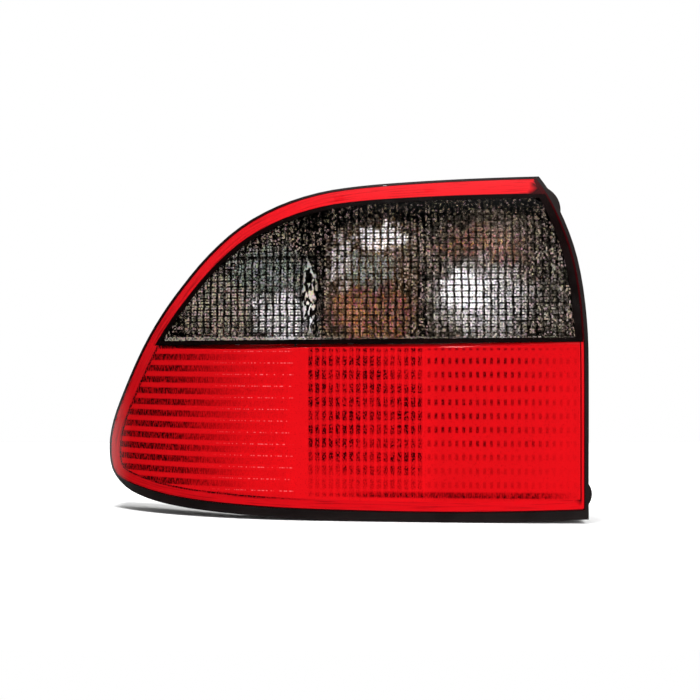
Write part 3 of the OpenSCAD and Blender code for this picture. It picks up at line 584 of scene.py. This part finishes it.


# Patches of painted highlight where the window would send light back: middle x and z, half width,
# half height, level
WHITE_GLEAMS = [(38, 47, 19, 16, 2.4), (50, 41, 40, 33, 0.6), (-22, 86, 22, 9, 1),
                (-52, 68, 9, 24, 0.5), (-94, 29, 26, 22, 0.8)]
CREAM_GLEAMS = [(-140, 38, 36, 28, 0.6), (14, 74, 50, 20, 0.2)]
BROWN_GLEAMS = [(-30, 31, 38, 20, 0.55), (48, 80, 40, 15, 0.3)]
GREEN_GLEAMS = [(-30, 62, 20, 16, 0.4), (-105, 62, 36, 22, 0.35), (100, 45, 16, 40, 0.1)]
# The divider's patch is kept free of painted highlight, and a jagged painted highlight runs along
# it
DIVIDER = (-73.5, 44, 9, 34, 1)
DIVIDER_GLEAM = (-74, 44, 6, 30, 0.9)
# Colours of the painted highlights
WHITE_TINT, CREAM_TINT = (0.95, 0.93, 0.95, 1), (0.55, 0.46, 0.36, 1)
BROWN_TINT, GREEN_TINT = (0.42, 0.13, 0.05, 1), (0.4, 0.5, 0.45, 1)
# How far noise moves the patches' edges and the columns, in millimetres
PATCH_WARP, COLUMN_WARP = 34, 2.4
# A dark line crosses the wing's side of the window at this height
DARK_LINE_Z, DARK_LINE_LEFT, DARK_LINE_END = 72, -72, -64
# The painted highlight along the window's foot is fainter at the first x and brighter at the
# second
EDGE_LINE_FAINT, EDGE_LINE_BRIGHT = -60, -80
# The painted pale specks weaken from the first height to the second
SPECK_FADE_FROM, SPECK_FADE_TO = 80, 100
MOST_SPARKLE, CELL_HUE = 0.96, 0.2


def window_sparkle(tree):
    """Painted highlights standing in for what the window's optics throw back: share of each
    point, and its colour.
    """
    x, _, z = axes(tree)
    x_moved = math_node(tree, "MULTIPLY_ADD", stretched_noise(tree, 14, 9, 2), COLUMN_WARP, x)
    column = product(
        tree, ramp(tree, wave(tree, x_moved, COLUMN_START, WINDOW_PILLOW), 0.08, 0.5),
        ramp(tree, wave(tree, x_moved, COLUMN_START, WINDOW_PILLOW / 2), 0.05, 0.4, 0.6, 1))
    line = product(tree, ramp(tree, wave(tree, z, SEAM_HEIGHT, WINDOW_LINE), 0.05, 0.4, 0.1, 1),
                   ramp(tree, wave(tree, z, SEAM_HEIGHT, WINDOW_LINE / 2), 0.1, 0.5, 0.5, 1))
    chance, hue = cell_chance(tree, x, z, WINDOW_PILLOW / 5, WINDOW_LINE / 4)
    cloud = [stretched_noise(tree, *size, 3) for size in ((11, 8), (8, 12))]
    wide, high = (less(tree, math_node(tree, "MULTIPLY_ADD", shift, PATCH_WARP, way),
                       PATCH_WARP / 2) for shift, way in zip(cloud, (x, z)))
    white, cream, brown, green = (
        brightest(tree, *(patch(tree, wide, high, *place) for place in places))
        for places in (WHITE_GLEAMS, CREAM_GLEAMS, BROWN_GLEAMS, GREEN_GLEAMS))
    # Painted highlights in the patches, broken up by the columns and lines of pillows
    gleam = product(tree, brightest(tree, white, cream, brown, green), column, line,
                    ramp(tree, chance, 0.1, 0.9, 0.25, 1.3))
    # Pale painted specks over the window, weaker toward its top
    speck = product(tree, ramp(tree, chance, 0.55, 0.95, 0, 0.48),
                    ramp(tree, z, SPECK_FADE_FROM, SPECK_FADE_TO, 1, 0.4),
                    ramp(tree, cloud[0], 0.35, 0.6, 0.4, 1), ramp(tree, column, 0, 1, 0.3, 1))
    # A painted highlight line just above the seam, brighter toward the wing
    seam_gleam = product(tree, ramp(tree, z, SEAM_HEIGHT + 1.8, SEAM_HEIGHT + 1.2),
                        ramp(tree, x, EDGE_LINE_FAINT, EDGE_LINE_BRIGHT, 0.2, 0.5),
                        ramp(tree, chance, 0.2, 0.6, 0.3, 1))
    # A jagged painted highlight along the divider
    jagged_gleam = product(tree, patch(tree, x, z, *DIVIDER_GLEAM),
                     ramp(tree, stretched_noise(tree, 2.2, 5, 3), 0.5, 0.58))
    off_line = math_node(tree, "ABSOLUTE", less(tree, z, DARK_LINE_Z))
    dark_line = brightest(tree, ramp(tree, off_line, 0.8, 2, 0.25, 1),
                          ramp(tree, x, DARK_LINE_LEFT, DARK_LINE_END))
    divider = less(tree, 1, patch(tree, x, z, *DIVIDER))
    share = product(tree, brightest(tree, gleam, speck), dark_line, divider)
    share = at_most(tree, brightest(tree, share, seam_gleam, jagged_gleam), MOST_SPARKLE)
    # The painted highlights are cream, turning brown, green or white within their patches
    tint = CREAM_TINT
    for level, boost, colour in ((brown, 3, BROWN_TINT), (green, 3, GREEN_TINT),
                                 (white, 1.6, WHITE_TINT)):
        tint = blend_colour(tree, at_most(tree, product(tree, level, boost)), tint, colour)
    return share, blend_colour(tree, CELL_HUE, tint, hue)


def sparkling(name, smoke, ior):
    """Smoked clear plastic with painted highlights where its optics would turn the light back."""
    material, tree, bsdf = shader(name)
    share, tint = window_sparkle(tree)
    # The tint of the painted highlights takes over from the smoke as soon as a point has some of
    # them
    tree.links.new(blend_colour(tree, ramp(tree, share, 0, 0.15), smoke, tint),
                   bsdf.inputs["Base Color"])
    tree.links.new(less(tree, 1, share), bsdf.inputs["Transmission Weight"])
    bsdf.inputs["IOR"].default_value = ior
    bsdf.inputs["Roughness"].default_value = 0
    return material


def window_pattern(tree):
    """Share of shade on the window's pillows: dark borders and dark specks."""
    x, _, z = axes(tree)
    columns = ramp(tree, wave(tree, x, COLUMN_START, WINDOW_PILLOW), 0.4, 0.1)
    lines = ramp(tree, wave(tree, z, SEAM_HEIGHT, WINDOW_LINE), 0.4, 0.1, 0, 0.85)
    speck = ramp(tree, stretched_noise(tree, 1.2, 1.2, 2), 0.5, 0.4, 0, 0.7)
    return brightest(tree, columns, lines, speck)


# Finishes: two colours, then roughness, grains a metre, grain depth and sheen for plastic,
# and roughness and clouds a metre for metal
HOUSING_BLACK = moulded("housing_black", (0.005, 0.003, 0.003, 1), (0.011, 0.007, 0.007, 1),
                        0.42, 1400, 0.00006, 0.1)
CARRIER_GREY = moulded("carrier_grey", (0.03, 0.03, 0.032, 1), (0.045, 0.045, 0.047, 1),
                       0.5, 1100, 0.00005)
FRAME_BLACK = moulded("frame_black", (0.002, 0.001, 0.001, 1), (0.005, 0.002, 0.002, 1),
                      0.22, 900, 0.00002, 0.1)
SEAL_BLACK = moulded("seal", (0.01, 0.01, 0.01, 1), (0.02, 0.02, 0.02, 1), 0.75, 700, 0.0001)
FOAM = moulded("foam", (0.02, 0.02, 0.021, 1), (0.04, 0.04, 0.041, 1), 0.9, 1800, 0.0003)
METALLISED = metal("metallised", (0.92, 0.92, 0.93, 1), (0.84, 0.84, 0.86, 1), 0.2, 30)
STEEL = metal("steel", (0.62, 0.6, 0.55, 1), (0.75, 0.72, 0.6, 1), 0.28, 120)
BRASS = metal("brass", (0.78, 0.6, 0.3, 1), (0.6, 0.44, 0.2, 1), 0.25, 90)
TINNED = metal("tinned", (0.58, 0.57, 0.54, 1), (0.4, 0.39, 0.37, 1), 0.38, 70)
LENS_RED = dyed("lens_red", (0.82, 0.006, 0.01, 1), (0.04, 0.0, 0.001, 1), 0.68,
                red_optics_pattern, glints=rib_glints)
LENS_RED_OPTICS = dyed("lens_red_optics", (1, 0.012, 0.02, 1), (0.12, 0.001, 0.003, 1), 0.1,
                       red_optics_pattern)
LENS_RED_EDGE = dyed("lens_red_edge", strip_colour, (0.03, 0.001, 0.002, 1), 0.8,
                     edge_streaks, 0.06)
LENS_SMOKE = sparkling("lens_smoke", (0.1, 0.085, 0.065, 1), 1.4)
LENS_SMOKE_OPTICS = dyed("lens_smoke_optics", (0.95, 0.93, 0.9, 1), (0.02, 0.018, 0.014, 1), 0.0,
                         window_pattern)
BULB_GLASS = clear("bulb_glass", (0.97, 0.97, 0.97, 1), 0.3, 1.5)
BULB_AMBER = clear("bulb_amber", (1, 0.78, 0.5, 1), 0.3, 1.5)

FINISH = {
    HOUSING_BLACK: ["housing", "vent_cap"],
    CARRIER_GREY: ["bulb_carrier"],
    FRAME_BLACK: ["window_frame"],
    SEAL_BLACK: ["lens_seal", "carrier_seal"],
    FOAM: ["body_gasket"],
    METALLISED: ["tail_reflector", "fog_reflector", "indicator_reflector",
                 "reverse_reflector", "side_reflector"],
    STEEL: ["studs", "filaments"],
    BRASS: ["tail_cap", "fog_cap", "indicator_cap", "reverse_cap", "side_cap", "contacts"],
    TINNED: ["earth_track", "feed_tracks", "connector_pins"],
    BULB_GLASS: ["tail_bulb", "fog_bulb", "reverse_bulb", "side_bulb"],
    BULB_AMBER: ["indicator_bulb"],
    LENS_RED: ["red_lens"],
    LENS_SMOKE: ["smoke_lens"],
}
for material, names in FINISH.items():
    for name in names:
        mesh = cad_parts[name].data
        mesh.materials.clear()
        mesh.materials.append(material)


# Lens optics
SAME_PLACE = 0.01 * MM


def dome(u, v):
    """Height of a pillow at u and v from -1 to 1, as a share of its rise."""
    return (1 - u * u) * (1 - v * v)


def pillow_slab(name, columns, lows, highs, pitch, fine, slot, *materials):
    """A window with domed pillows on its inside, closed on all sides.

    Lows and highs are its ends at each border of a column, fine is the number of
    pieces in a pillow, and the second material is for the pillows.
    """
    rows = math.ceil(max((h - l) / pitch for l, h in zip(lows, highs)))
    bm = bmesh.new()
    front, back = [], []
    for i in range((len(columns) - 1) * fine + 1):
        c = min(i // fine, len(columns) - 2)
        s = i / fine - c
        x = columns[c] + (columns[c + 1] - columns[c]) * s
        front.append([])
        back.append([])
        for j in range(rows * fine + 1):
            r = min(j // fine, rows - 1)
            t = j / fine - r
            ends = [[min(lows[k] + q * pitch, highs[k]) for q in (r, r + 1)] for k in (c, c + 1)]
            z0 = ends[0][0] + (ends[1][0] - ends[0][0]) * s
            z1 = ends[0][1] + (ends[1][1] - ends[0][1]) * s
            z = z0 + (z1 - z0) * t
            height = dome(2 * s - 1, 2 * t - 1) * clamp01((z1 - z0) / pitch)
            front[i].append(bm.verts.new((x * MM, lens_y(x, z, 0) * MM, z * MM)))
            back[i].append(bm.verts.new(
                (x * MM, lens_y(x, z, LENS_WALL + PILLOW_RISE * height) * MM, z * MM)))
    n, m = len(front) - 1, len(front[0]) - 1
    for i in range(n):
        for j in range(m):
            bm.faces.new((front[i][j], front[i + 1][j], front[i + 1][j + 1], front[i][j + 1]))
            bm.faces.new((back[i][j], back[i][j + 1], back[i + 1][j + 1],
                          back[i + 1][j])).material_index = 1
        bm.faces.new((front[i][0], back[i][0], back[i + 1][0], front[i + 1][0]))
        bm.faces.new((front[i][m], front[i + 1][m], back[i + 1][m], back[i][m]))
    for j in range(m):
        bm.faces.new((front[0][j], front[0][j + 1], back[0][j + 1], back[0][j]))
        bm.faces.new((front[n][j], back[n][j], back[n][j + 1], front[n][j + 1]))
    bmesh.ops.remove_doubles(bm, verts=bm.verts, dist=SAME_PLACE)
    bmesh.ops.dissolve_degenerate(bm, edges=bm.edges, dist=SAME_PLACE)
    finish_faces(bm)
    return new_piece(name, bm, slot, *materials)


window = pillow_slab(
    "smoked_window", WINDOW_COLUMNS, [seam_z(x) + FIT_GAP for x in WINDOW_COLUMNS],
    [max(seam_z(x) + 2 * FIT_GAP, window_top(x) - FIT_GAP) for x in WINDOW_COLUMNS],
    WINDOW_PILLOW, WINDOW_FINE, "lens_smoke", LENS_SMOKE, LENS_SMOKE_OPTICS)
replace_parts(window, "smoke_lens")


def cell_place(value, start, pitch):
    """Place within a repeating cell, from -1 to 1."""
    share = (value - start) / pitch
    return 2 * (share - math.floor(share)) - 1


def red_cell(x, z):
    """Place within a pillow of the red lens, from -1 to 1 each way, or None."""
    if not PILLOW_LOW < z < PILLOW_TOP:
        return None
    for columns in PILLOW_FIELDS:
        if columns[0] < x < columns[-1]:
            return cell_place(x, columns[0], PILLOW_W), cell_place(z, PILLOW_TOP, PILLOW_H)
    return None


def inside_depth(x, z):
    """Depth of the red lens's inner surface: domes, round ribs or plain wall."""
    cell = red_cell(x, z)
    if cell:
        return LENS_WALL + VALLEY + PILLOW_RISE * dome(*cell)
    if x < RIB_END:
        nearest = round((RIB_TOP - z) / RIB_PITCH)
        off = z - (RIB_TOP - nearest * RIB_PITCH)
        if 0 <= nearest < RIB_COUNT and abs(off) < RIB_R:
            return max(LENS_WALL, RIB_SINK + math.sqrt(RIB_R ** 2 - off ** 2))
    return LENS_WALL


def sweep_area(distances):
    """Area inside the outer edge of the lamp, at a distance from each of its points."""
    line = moved(SWEEP, SWEEP_N, distances)
    return line + [(INNER_REACH + FAR, line[-1][1]), (INNER_REACH + FAR, line[0][1])]


def inner_area(distance):
    """Area outboard of the inboard edge, at a distance from it."""
    line = moved(INNER, INNER_N, [distance] * len(INNER))
    return ([(line[0][0] - 0.6 * FAR, line[0][1] + FAR)] + line
            + [(line[-1][0], line[-1][1] - FAR), (-WING_REACH - FAR, -LOW_REACH - FAR),
               (-WING_REACH - FAR, TOP_REACH + FAR)])


def above_seam(drop):
    """Area above the line between window and red lens, moved down by the drop."""
    left, right = -WING_REACH - FAR, INNER_REACH + FAR
    return [(left, seam_z(left) - drop), (right, seam_z(right) - drop),
            (right, TOP_REACH + FAR), (left, TOP_REACH + FAR)]


def edge_way(lines, x, z):
    """Way along the edge to the nearest point, the distance to it, and which edge it is."""
    best = (1e9, 0, 0)
    for which, (points, lengths) in enumerate(lines):
        for (a, b), start in zip(zip(points, points[1:]), lengths):
            dx, dz = b[0] - a[0], b[1] - a[1]
            span = math.hypot(dx, dz)
            t = clamp01(((x - a[0]) * dx + (z - a[1]) * dz) / span ** 2)
            gap = math.hypot(x - a[0] - t * dx, z - a[1] - t * dz)
            if gap < best[0]:
                best = (gap, start + t * span, which)
    return best[1], best[0], best[2]


def with_lengths(points):
    """The points of a line, and how far along it each lies."""
    lengths = [0]
    for a, b in zip(points, points[1:]):
        lengths.append(lengths[-1] + math.hypot(b[0] - a[0], b[1] - a[1]))
    return points, lengths


FACE_SLOT, OPTICS_SLOT, EDGE_SLOT = 0, 1, 2


def red_lens_piece():
    """The red lens: outer face, skirt, strip round the edge, ribs and domed pillows.

    A flat triangulation of the lens's outline is laid on the outer face and on the
    inner one. Each triangle knows which of these areas it is in, by their numbers.
    """
    areas = [
        sweep_area(RIM), inner_area(RIM_INNER),
        sweep_area([r + SKIRT_WALL for r in RIM]), inner_area(RIM_INNER + SKIRT_WALL),
        sweep_area([r + w for r, w in zip(RIM, STRIP)]), inner_area(RIM_INNER + INNER_STRIP_W),
        sweep_area([b - FRAME_W - FIT_GAP for b in BORDER]),
        inner_area(BORDER_INNER - FRAME_INNER_W - FIT_GAP),
        above_seam(FRAME_SEAM_W + FIT_GAP)]
    points, faces = [], []
    for area in areas:
        turn = sum(a[0] * b[1] - b[0] * a[1] for a, b in zip(area, area[1:] + area[:1]))
        faces.append(list(range(len(points), len(points) + len(area))))
        points += [Vector(p) for p in (area if turn > 0 else reversed(area))]
    fine_x = [x for field in PILLOW_FIELDS
              for x in spaced(field[0], field[-1], PILLOW_W / RED_FINE_X)]
    fine_z = spaced(PILLOW_LOW, PILLOW_TOP, PILLOW_H / RED_FINE_Z)
    rib_x = spaced(-WING_REACH + 4, RIB_END, 5)
    rib_z = [RIB_TOP - i * RIB_PITCH + RIB_R * math.sin(math.radians(a))
             for i in range(RIB_COUNT) for a in range(-90, 91, 18)]
    plain_x = spaced(-WING_REACH, INNER_REACH, 6)
    plain_z = spaced(SEAM_HEIGHT, TOP_REACH, 6)
    for all_x, all_z in ((fine_x, fine_z), (rib_x, rib_z), (plain_x, plain_z)):
        points += [Vector((x, z)) for x in all_x for z in all_z]
    made = delaunay_2d_cdt(points, [], faces, 1, 0.001)
    flat, triangles, owners = made[0], made[2], made[5]
    bm = bmesh.new()
    front, back = {}, {}

    def vertex(store, key, d):
        if key not in store:
            x, z = flat[key[0]]
            store[key] = bm.verts.new((x * MM, lens_y(x, z, d) * MM, z * MM))
        return store[key]

    zone = {}
    for t, own in zip(triangles, owners):
        own = set(own)
        if not {0, 1} <= own or {6, 7, 8} <= own:
            continue
        skirt = not {2, 3} <= own
        zone[tuple(t)] = ("skirt" if skirt else "inside", not {4, 5} <= own or 8 in own)
    sides = {}
    for t, (kind, strip) in zone.items():
        face = bm.faces.new([vertex(front, (i,), 0) for i in t])
        face.material_index = EDGE_SLOT if strip else FACE_SLOT
        inner = []
        for i in t:
            x, z = flat[i]
            d = SKIRT_DEPTH if kind == "skirt" else inside_depth(x, z)
            inner.append(vertex(back, (i, kind), d))
        face = bm.faces.new(list(reversed(inner)))
        face.material_index = EDGE_SLOT if strip else OPTICS_SLOT
        for a, b in ((t[0], t[1]), (t[1], t[2]), (t[2], t[0])):
            sides.setdefault((min(a, b), max(a, b)), []).append((kind, (a, b)))
    # Walls round the outline, and the step from the skirt's end to the inner face
    for uses in sides.values():
        kind, (a, b) = uses[0]
        if len(uses) == 1:
            face = bm.faces.new((front[(a,)], back[(a, kind)], back[(b, kind)], front[(b,)]))
        elif uses[0][0] != uses[1][0]:
            other = uses[1][0]
            face = bm.faces.new((back[(a, kind)], back[(b, kind)],
                                 back[(b, other)], back[(a, other)]))
        else:
            continue
        face.material_index = EDGE_SLOT
    finish_faces(bm)
    # Point attributes for the strip's pattern: the way along and in from the edge, with 1
    # for the inboard edge, and the distance to the window's frame
    edge = with_lengths(moved(SWEEP, SWEEP_N, RIM))
    inner_line = with_lengths(moved(INNER, INNER_N, [RIM_INNER] * len(INNER)))
    borders = [with_lengths(moved(SWEEP, SWEEP_N, [b - FRAME_W - FIT_GAP for b in BORDER])),
               with_lengths(moved(INNER, INNER_N, [BORDER_INNER - FRAME_INNER_W] * len(INNER)))]
    strip_widths = list(zip(edge[1], STRIP))
    ways = {}
    for v in bm.verts:
        key = (round(v.co.x, 5), round(v.co.z, 5))
        if key not in ways:
            place = v.co.x / MM, v.co.z / MM
            above = place[1] > seam_z(place[0]) - FRAME_SEAM_W - 1
            along, inset, inboard = edge_way((edge, inner_line), *place)
            if not inboard:
                inset *= STRIP_W / lookup(along, strip_widths)
            ways[key] = ((along, inset, inboard),
                         (edge_way(borders, *place)[1] if above else FAR, 0, 0))
    layers = [bm.verts.layers.float_vector.new(name) for name in ("edge_way", "window_gap")]
    for v in bm.verts:
        for layer, value in zip(layers, ways[(round(v.co.x, 5), round(v.co.z, 5))]):
            v[layer] = Vector(value)
    return new_piece("red_lens_moulding", bm, "lens_red", LENS_RED, LENS_RED_OPTICS,
                     LENS_RED_EDGE)


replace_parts(red_lens_piece(), "red_lens")

# Studio
CAMERA_AT = Vector((-0.045, -1.328, 0.005))
CAMERA_LENS, SENSOR = 90.93, 36
camera_data = bpy.data.cameras.new("camera")
camera_data.lens, camera_data.sensor_width = CAMERA_LENS, SENSOR
camera = bpy.data.objects.new("camera", camera_data)
camera.location = CAMERA_AT
camera.rotation_euler = (math.pi / 2, 0, 0)
bpy.context.scene.collection.objects.link(camera)
bpy.context.scene.camera = camera


def area_light(name, place, target, width, height, power):
    """A soft light, in metres and watts."""
    data = bpy.data.lights.new(name, "AREA")
    data.shape, data.size, data.size_y = "RECTANGLE", width, height
    data.energy = power
    light = bpy.data.objects.new(name, data)
    light.location = place
    light.rotation_euler = (Vector(target) - Vector(place)).to_track_quat("-Z", "Y").to_euler()
    bpy.context.scene.collection.objects.link(light)


CENTRE = (-0.05, 0, 0)
area_light("key_light", (0.6, -1.2, 0.4), CENTRE, 0.5, 0.8, 14)
area_light("top_light", (-0.3, -0.25, 1.45), CENTRE, 0.7, 0.4, 24)
area_light("back_light", (0.3, 1.1, 0.9), CENTRE, 1.2, 0.6, 6)

world = bpy.data.worlds.new("studio")
bpy.context.scene.world = world
world.use_nodes = True
background = world.node_tree.nodes["Background"]
background.inputs["Color"].default_value = (1, 1, 1, 1)
background.inputs["Strength"].default_value = 1.0

# A black studio screen stands round the front and the left of the lamp, outside the lights
# and the camera, so that the smooth lens mirrors it. It is a part of a sphere, with its
# reach in degrees, and fades out toward its edges.
SCREEN_R = 2.6
SCREEN_LEFT, SCREEN_RIGHT, SCREEN_TOP, SCREEN_LOW, SCREEN_FADE = 130, 50, 68, -12, 22


def screen_cover(tree):
    """1 where the screen is black, fading to 0 at its edges, by angles from the lamp."""
    parts = node(tree, "ShaderNodeSeparateXYZ")
    tree.links.new(coordinates(tree), parts.inputs[0])
    side = math_node(tree, "ARCTAN2", parts.outputs[0], product(tree, parts.outputs[1], -1))
    rise = math_node(tree, "ARCSINE", math_node(tree, "DIVIDE", parts.outputs[2], SCREEN_R))
    side, rise = (math_node(tree, "DEGREES", angle) for angle in (side, rise))
    return product(tree, ramp(tree, side, -SCREEN_LEFT, SCREEN_FADE - SCREEN_LEFT),
                   ramp(tree, side, SCREEN_RIGHT, SCREEN_RIGHT - SCREEN_FADE),
                   ramp(tree, rise, SCREEN_TOP, SCREEN_TOP - SCREEN_FADE),
                   ramp(tree, rise, SCREEN_LOW - SCREEN_FADE, SCREEN_LOW))


screen_material, screen_tree, screen_bsdf = shader("screen")
screen_bsdf.inputs["Base Color"].default_value = (0.01, 0.01, 0.01, 1)
screen_bsdf.inputs["Specular IOR Level"].default_value = 0
screen_bsdf.inputs["Roughness"].default_value = 1
screen_tree.links.new(screen_cover(screen_tree), screen_bsdf.inputs["Alpha"])
screen_bm = bmesh.new()
bmesh.ops.create_uvsphere(screen_bm, u_segments=64, v_segments=32, radius=SCREEN_R)
screen = mesh_object("screen", screen_bm, screen_material)
screen.visible_camera = False

# The floor lies just below the lamp, and no reflection shows it
FLOOR_X, FLOOR_FRONT, FLOOR_BACK, FLOOR_DROP = 1.0, -0.6, 1.0, 0.0005
floor_material, _, floor_bsdf = shader("floor")
floor_bsdf.inputs["Base Color"].default_value = (1, 1, 1, 1)
floor_bsdf.inputs["Roughness"].default_value = 0.9
floor_bm = bmesh.new()
floor_bm.faces.new([floor_bm.verts.new(corner) for corner in (
    (-FLOOR_X, FLOOR_FRONT, 0), (FLOOR_X, FLOOR_FRONT, 0),
    (FLOOR_X, FLOOR_BACK, 0), (-FLOOR_X, FLOOR_BACK, 0))])
floor = mesh_object("floor", floor_bm, floor_material)
floor.location = (0, 0, cad_low.z - FLOOR_DROP)
floor.visible_glossy = False

bpy.context.scene.view_settings.view_transform = "Standard"
